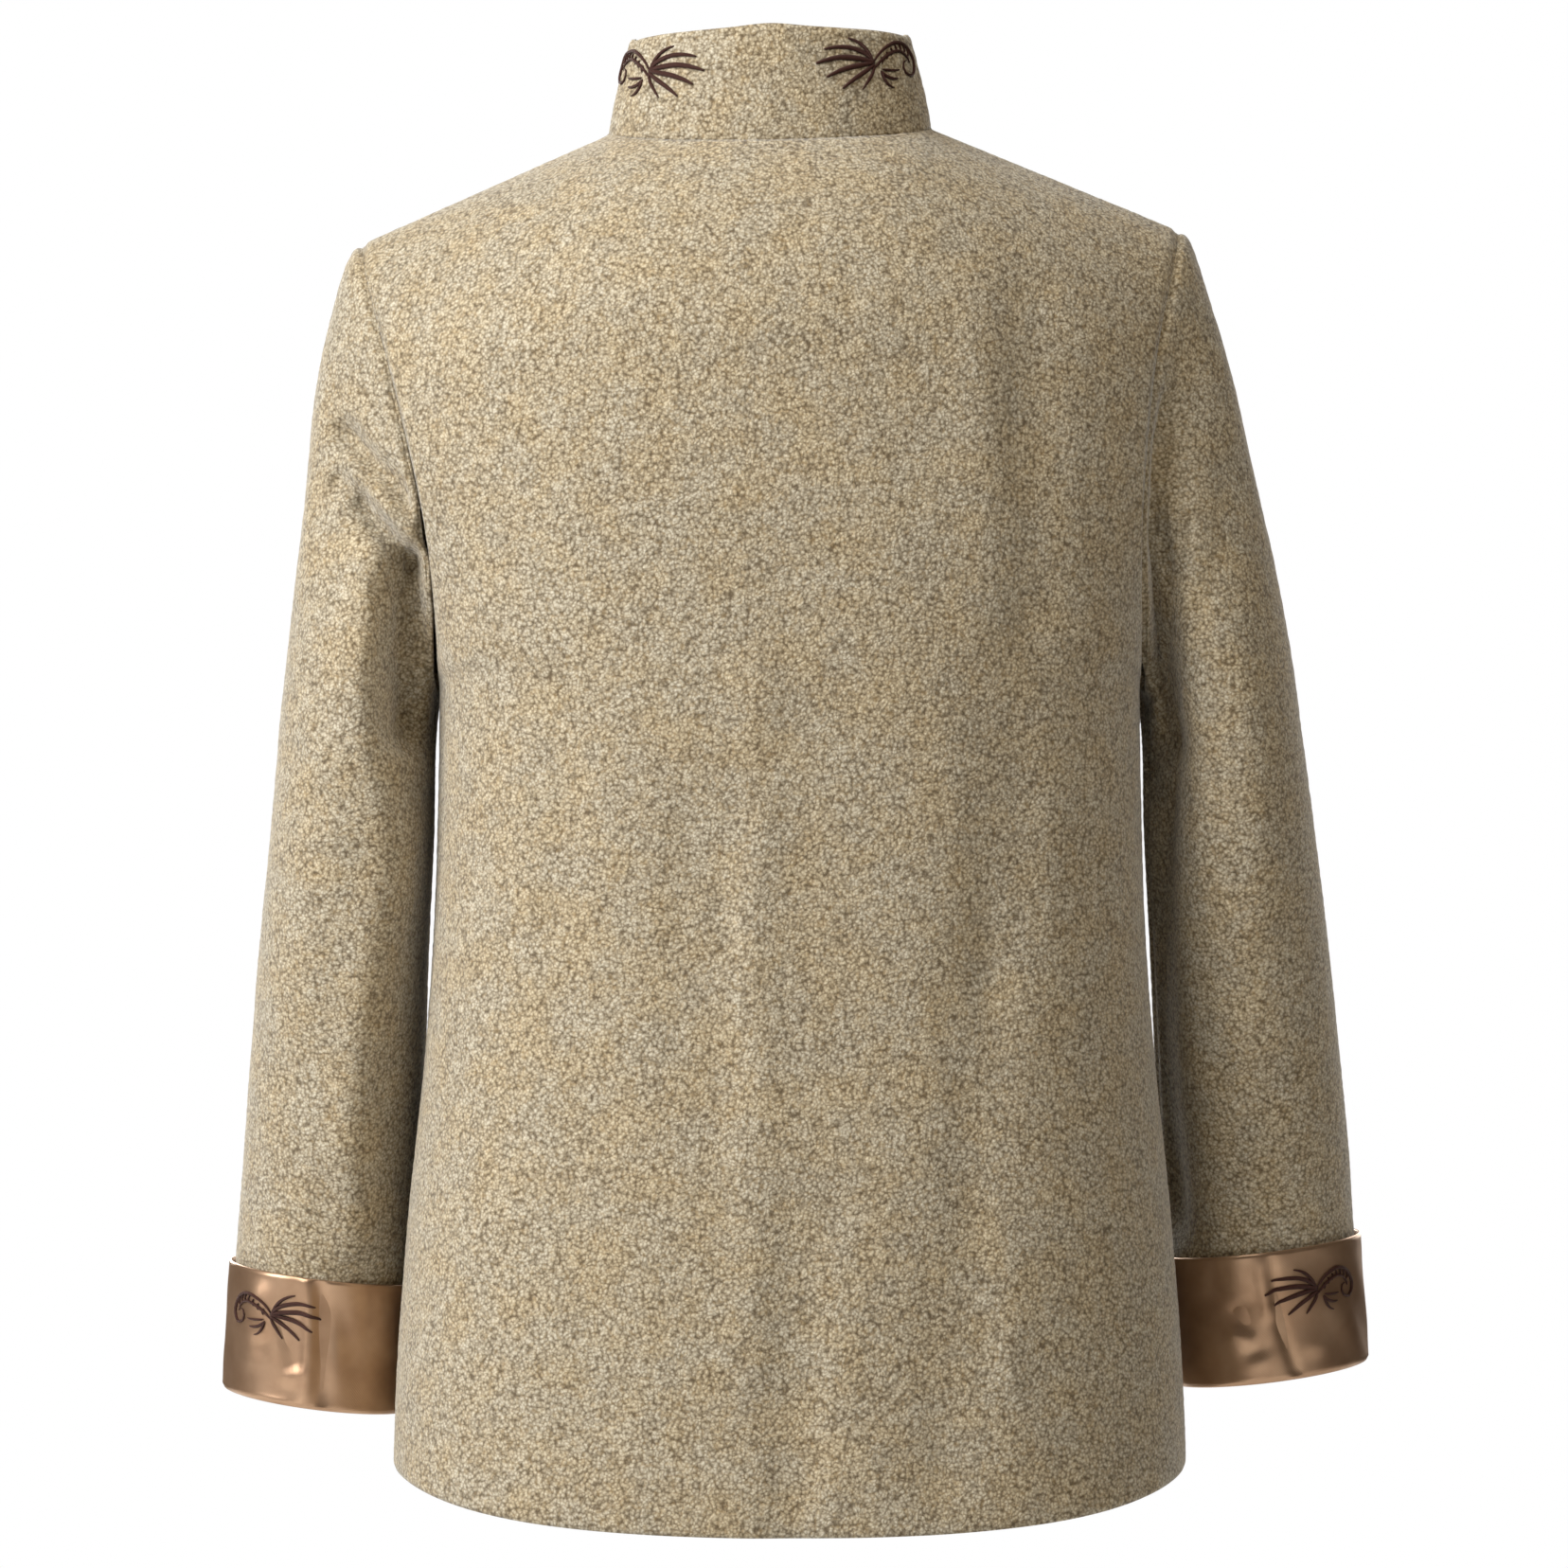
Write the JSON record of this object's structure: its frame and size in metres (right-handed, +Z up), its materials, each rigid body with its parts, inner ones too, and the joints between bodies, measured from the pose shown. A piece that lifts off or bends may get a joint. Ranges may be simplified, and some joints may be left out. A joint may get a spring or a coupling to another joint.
{
  "type": "stand-collar jacket with turn-back cuffs, worn form",
  "caption": "Long-sleeved stand-collar jacket in crinkled cloth with satin turn-back cuffs and cord frogs, held in its worn form, hollow and open at neck, hem and cuffs.",
  "frame": {"origin": "middle of the neck, level with the points where the shoulder seams meet the collar", "axes": "+Z up; the wearer faces -Y, so +X is the wearer's left"},
  "size_m": [0.6311, 0.2852, 0.7916],
  "materials": {
    "crinkled_cloth": "crinkled raised cloth, matt with a pale fibre sheen",
    "bronze_satin": "satin",
    "frog_cord": "satin cord"
  },
  "bodies": {
    "root": {"back": "crinkled_cloth", "front_left": "crinkled_cloth", "front_right": "crinkled_cloth", "sleeve_left": "crinkled_cloth", "sleeve_right": "crinkled_cloth", "collar": "crinkled_cloth", "cuff_left": "bronze_satin", "cuff_right": "bronze_satin", "frog_loop_1": "frog_cord", "frog_loop_2": "frog_cord", "frog_loop_3": "frog_cord", "frog_loop_4": "frog_cord", "frog_loop_5": "frog_cord", "frog_loop_6": "frog_cord", "frog_knot_1": "frog_cord", "frog_knot_2": "frog_cord", "frog_knot_3": "frog_cord", "frog_knot_4": "frog_cord", "frog_knot_5": "frog_cord", "frog_knot_6": "frog_cord"}
  },
  "joints": []
}
